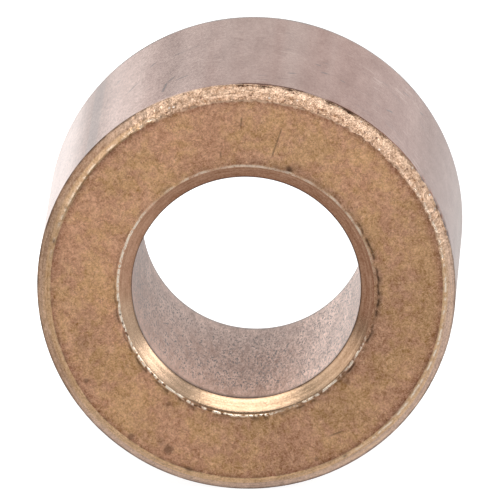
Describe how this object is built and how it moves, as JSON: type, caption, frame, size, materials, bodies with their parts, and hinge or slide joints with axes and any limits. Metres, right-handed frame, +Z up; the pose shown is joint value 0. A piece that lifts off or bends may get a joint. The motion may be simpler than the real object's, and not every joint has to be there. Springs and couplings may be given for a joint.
{
  "type": "sleeve bushing",
  "caption": "Plain cylindrical sintered bronze sleeve bushing with a through bore and chamfered ends, a sliding bearing for a rotating shaft.",
  "frame": {"origin": "centre of the bore at mid-length", "axes": "+Y along the bore axis, +Z up as the sleeve lies on its side"},
  "size_m": [0.022, 0.015, 0.022],
  "materials": {
    "bronze": "sintered bronze: matt end faces, burnished outside and bore"
  },
  "bodies": {
    "root": {"bronze_sleeve": "bronze"}
  },
  "joints": []
}
